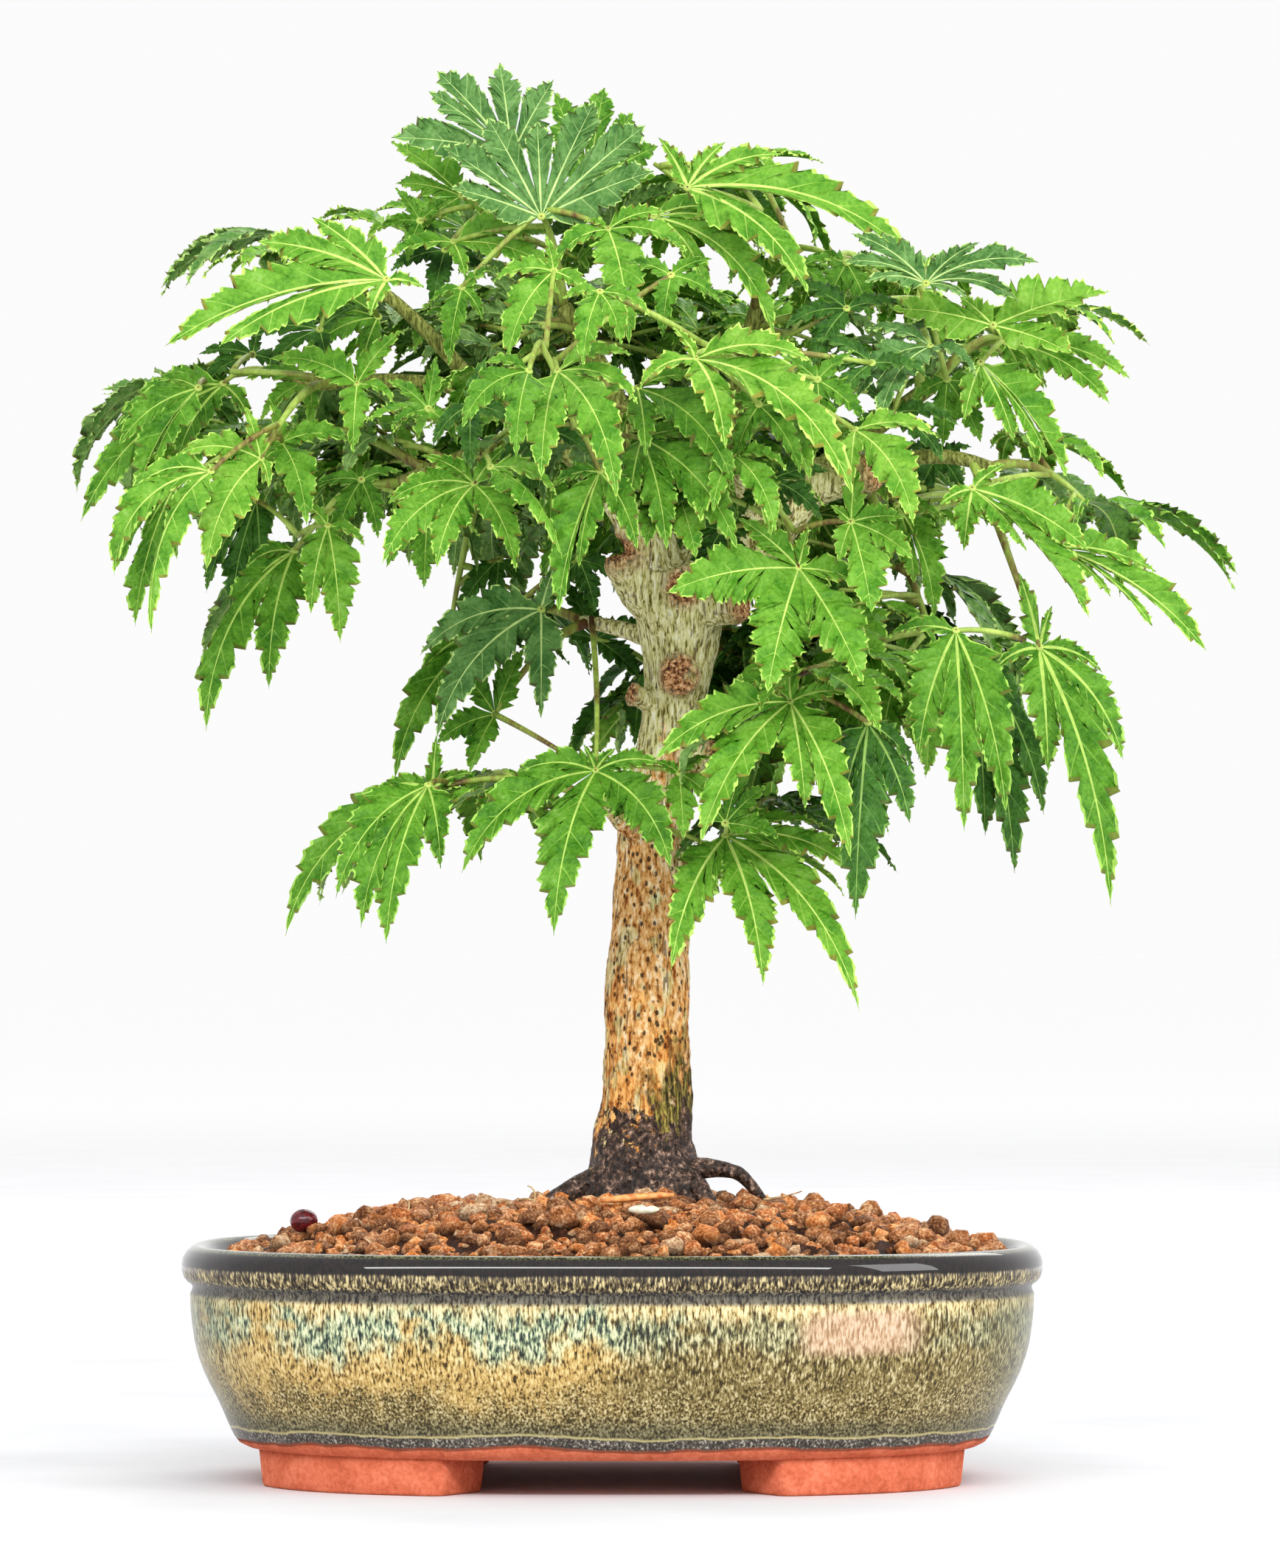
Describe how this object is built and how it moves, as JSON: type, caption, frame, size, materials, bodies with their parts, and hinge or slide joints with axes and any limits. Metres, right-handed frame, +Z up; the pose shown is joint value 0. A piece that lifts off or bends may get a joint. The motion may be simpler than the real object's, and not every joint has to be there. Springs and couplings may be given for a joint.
{
  "type": "shishigashira japanese maple bonsai",
  "caption": "Small trained maple tree with a tapering trunk, spreading boughs and layers of drooping hand-shaped leaves, growing in an oval glazed pot on low feet.",
  "frame": {"origin": "middle of the whole part's box in plan, at the underside of the pot's feet", "axes": "+Z up along the trunk, -Y towards the front of the tree, +X to the right as seen from the front"},
  "size_m": [0.2728, 0.2152, 0.337],
  "materials": {
    "glaze": "glossy mottled olive glaze with cream runs, over bare reddish clay at the foot",
    "soil": "matt red-brown grains of baked clay",
    "bark": "matt grey-green bark with shallow fissures",
    "foliage": "satin green leaves with paler veins"
  },
  "bodies": {
    "root": {"pot": "glaze", "soil": "soil", "trunk": "bark", "bough_right": "bark", "bough_left": "bark", "bough_top": "bark", "bough_back": "bark", "bough_upper_right": "bark", "pruned_stub_right": "bark", "branch_upper_left": "bark", "branch_far_left": "bark", "branch_left_low": "bark", "branch_front": "bark", "branch_front_right": "bark", "branch_right_up": "bark", "branch_right_out": "bark", "branch_right_back": "bark", "branch_back_left": "bark", "branch_back_low": "bark", "branch_low_right": "bark", "branch_low_left": "bark", "branch_left_inner": "bark", "crown_top": "foliage", "crown_top_left": "foliage", "crown_top_right": "foliage", "upper_right": "foliage", "upper_left": "foliage", "far_left": "foliage", "left_front": "foliage", "left_droop": "foliage", "left_back": "foliage", "centre_front": "foliage", "centre_front_low": "foliage", "front_right": "foliage", "front_right_low": "foliage", "right_upper_far": "foliage", "right_upper_front": "foliage", "right_lower_far": "foliage", "right_hanging": "foliage", "right_back": "foliage", "right_back_low": "foliage", "low_right_front": "foliage", "low_right_hanging": "foliage", "low_left_front": "foliage", "low_left_far": "foliage", "left_inner": "foliage", "left_inner_low": "foliage", "back_left": "foliage", "back_left_low": "foliage", "back_top": "foliage", "back_centre": "foliage", "back_low": "foliage", "back_low_right": "foliage"}
  },
  "joints": []
}
